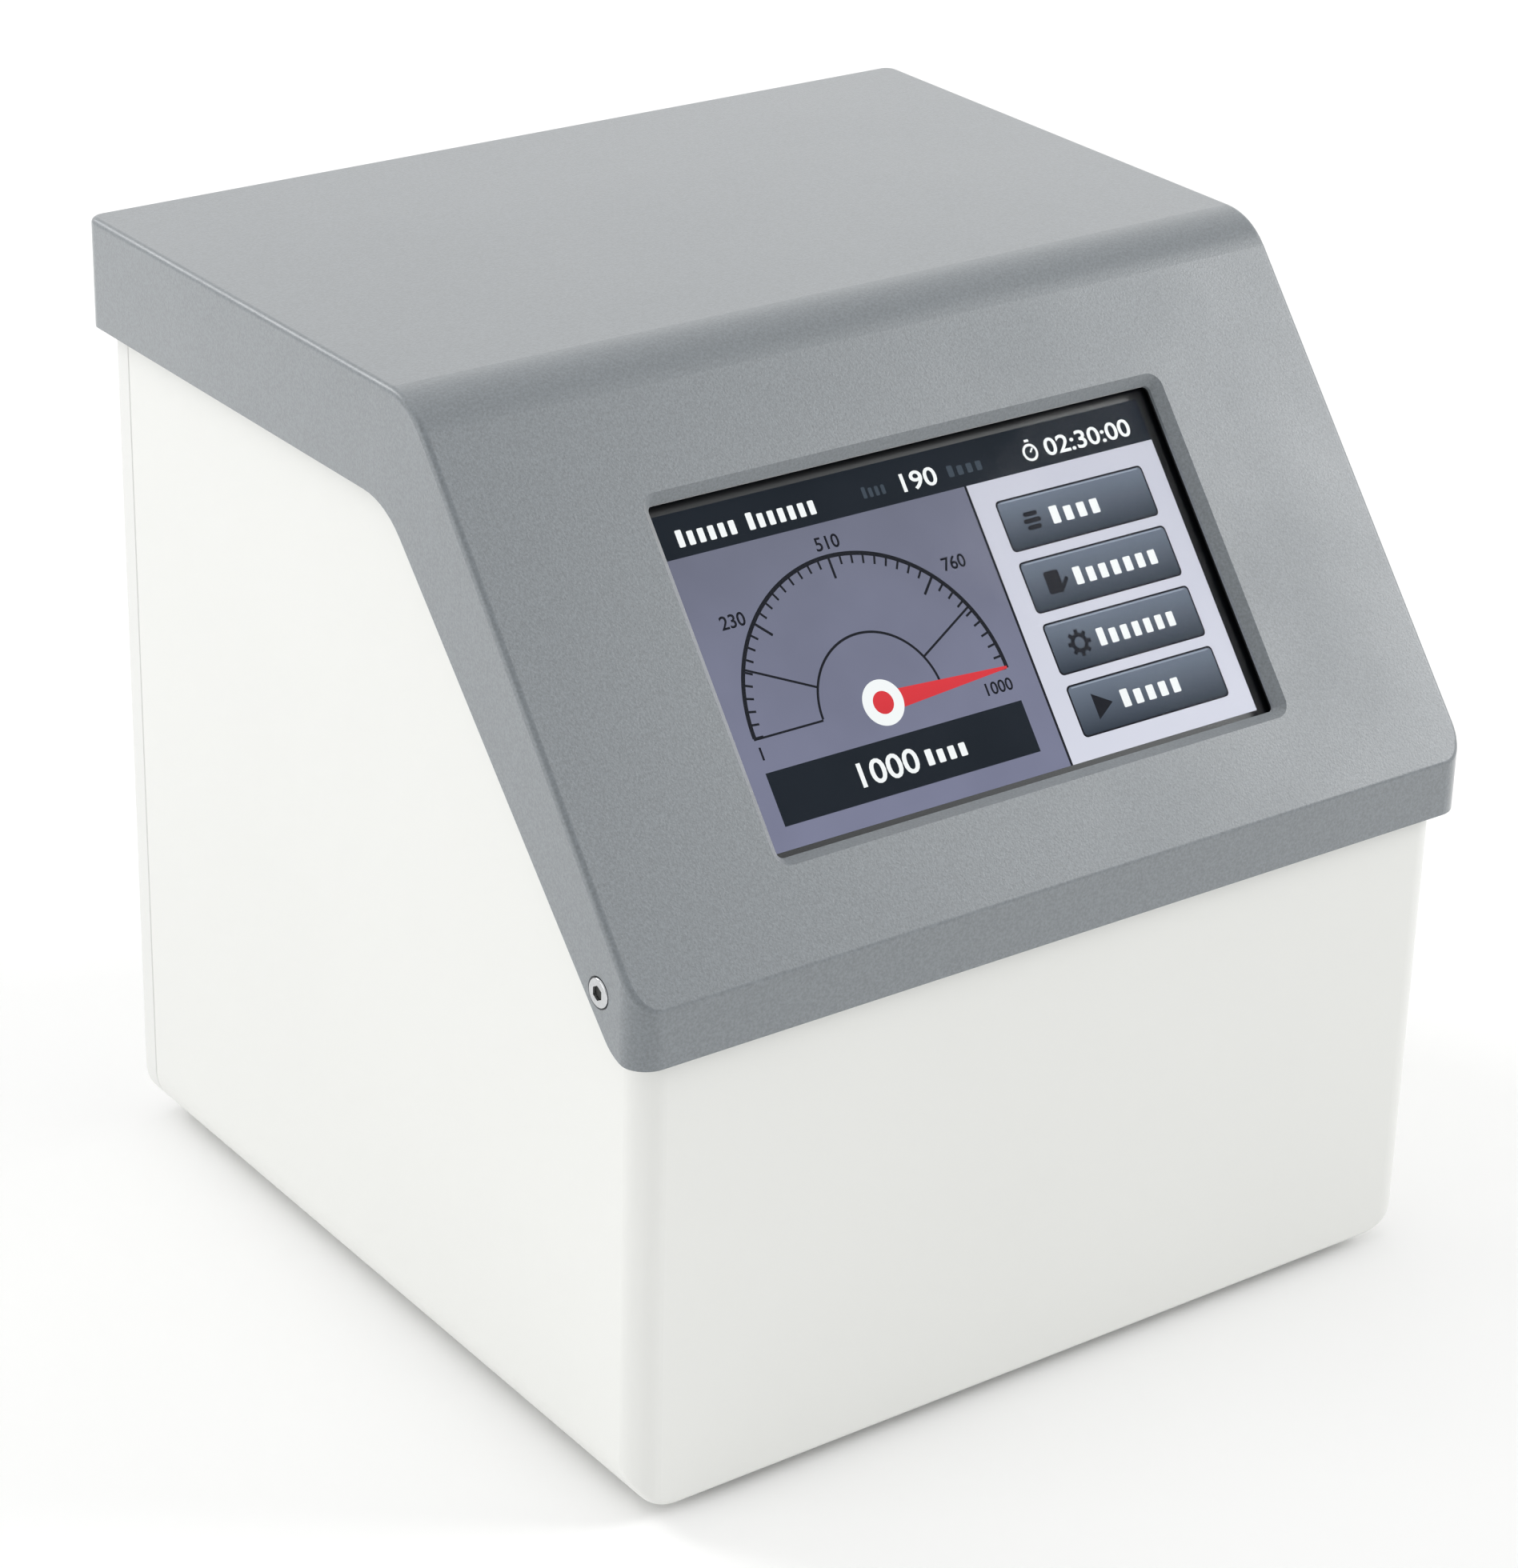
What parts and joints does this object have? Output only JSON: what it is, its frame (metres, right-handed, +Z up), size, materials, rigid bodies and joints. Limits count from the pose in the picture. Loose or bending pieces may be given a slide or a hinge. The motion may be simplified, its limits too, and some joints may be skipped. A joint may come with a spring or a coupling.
{
  "type": "vacuum controller",
  "caption": "Benchtop vacuum controller: white tub under a grey hood with a sloping touch display, hose nozzles, mains inlet and rocker switch at the back.",
  "frame": {"origin": "on the floor under the middle of the bounding box", "axes": "+X to the right as seen from the front, +Y to the back, +Z up"},
  "size_m": [0.1906, 0.208, 0.193],
  "materials": {
    "hood_grey": "satin moulded, fine grain",
    "housing_white": "satin moulded, fine grain",
    "panel_white": "satin moulded",
    "screw_steel": "bright zinc",
    "brass": "turned",
    "foot_rubber": "matt",
    "sheet_steel": "zinc-plated sheet",
    "gasket_foam": "closed-cell foam",
    "touch_glass": "clear, polished",
    "display_face": "black surround, lit picture",
    "circuit_board": "solder mask",
    "ribbon_film": "polyester film",
    "component_black": "moulded epoxy",
    "connector_ivory": "nylon",
    "battery_steel": "brushed",
    "coil_yellow": "tape wrap",
    "capacitor_sleeve": "shrink sleeve",
    "block_aluminium": "machined",
    "inlet_black": "moulded thermoplastic",
    "rocker_black": "smooth",
    "contact_nickel": "nickel-plated",
    "fuse_glass": "glass with metal caps",
    "wire_insulation": "PVC",
    "wire_grey": "PVC",
    "socket_nickel": "nickel-plated, satin",
    "nozzle_metal": "turned stainless",
    "seal_rubber": "moulded",
    "coil_black": "encapsulated",
    "guide_steel": "turned stainless",
    "spring_steel": "wire"
  },
  "bodies": {
    "housing": {"hood_cover": "hood_grey", "base_housing": "housing_white", "rear_panel": "panel_white", "hood_screws": "screw_steel", "hood_inserts": "brass", "rear_panel_screws": "screw_steel", "inner_screws": "screw_steel", "rubber_feet": "foot_rubber", "chassis_plate": "sheet_steel", "display_gasket": "gasket_foam", "touch_panel": "touch_glass", "lcd_module": "display_face", "display_bracket": "sheet_steel", "display_board": "circuit_board", "board_standoffs": "brass", "display_ribbon": "ribbon_film", "main_board": "circuit_board", "main_board_chips": "component_black", "board_connectors": "connector_ivory", "clock_battery": "battery_steel", "buzzer": "component_black", "power_supply_board": "circuit_board", "supply_transformer": "coil_yellow", "supply_capacitors": "capacitor_sleeve", "supply_heatsink": "block_aluminium", "power_inlet": "inlet_black", "inlet_blades": "contact_nickel", "inlet_screws": "screw_steel", "switch_frame": "inlet_black", "switch_terminals": "contact_nickel", "mains_leads": "wire_insulation", "drive_leads": "wire_insulation", "signal_leads": "wire_grey", "earth_stud": "brass", "signal_socket_1": "socket_nickel", "signal_socket_2": "socket_nickel", "socket_nuts": "socket_nickel", "manifold_block": "block_aluminium", "channel_plug": "screw_steel", "system_nozzle": "nozzle_metal", "pump_nozzle": "nozzle_metal", "nozzle_washers": "seal_rubber", "vent_nozzle": "nozzle_metal", "vacuum_valve_coil": "coil_black", "vacuum_valve_guide": "guide_steel", "vacuum_valve_spring": "spring_steel", "vent_valve_coil": "coil_black", "vent_valve_guide": "guide_steel", "vent_valve_spring": "spring_steel", "valve_nuts": "screw_steel", "pressure_sensor": "guide_steel", "sensor_seal": "seal_rubber"},
    "rocker": {"switch_rocker": "rocker_black"},
    "fuse_drawer": {"fuse_drawer": "inlet_black", "fuses": "fuse_glass"},
    "vacuum_plunger": {"vacuum_valve_plunger": "guide_steel", "vacuum_valve_seal": "seal_rubber"},
    "vent_plunger": {"vent_valve_plunger": "guide_steel", "vent_valve_seal": "seal_rubber"}
  },
  "joints": [
    {"name": "mains_rocker", "type": "hinge", "parent": "housing", "child": "rocker", "pos_m": [0.008, 0.075, 0.044], "axis": [-1, 0, 0], "range_deg": [0, 24]},
    {"name": "fuse_drawer_slide", "type": "slide", "parent": "housing", "child": "fuse_drawer", "axis": [0, 1, 0], "range_m": [0, 0.02]},
    {"name": "vacuum_valve_lift", "type": "slide", "parent": "housing", "child": "vacuum_plunger", "axis": [0, -1, 0], "range_m": [0, 0.0012], "stiffness_N_per_m": 400, "springref_m": -0.003, "deforming": ["vacuum_valve_spring"]},
    {"name": "vent_valve_lift", "type": "slide", "parent": "housing", "child": "vent_plunger", "axis": [0, -1, 0], "range_m": [0, 0.0012], "stiffness_N_per_m": 400, "springref_m": -0.003, "deforming": ["vent_valve_spring"]}
  ]
}
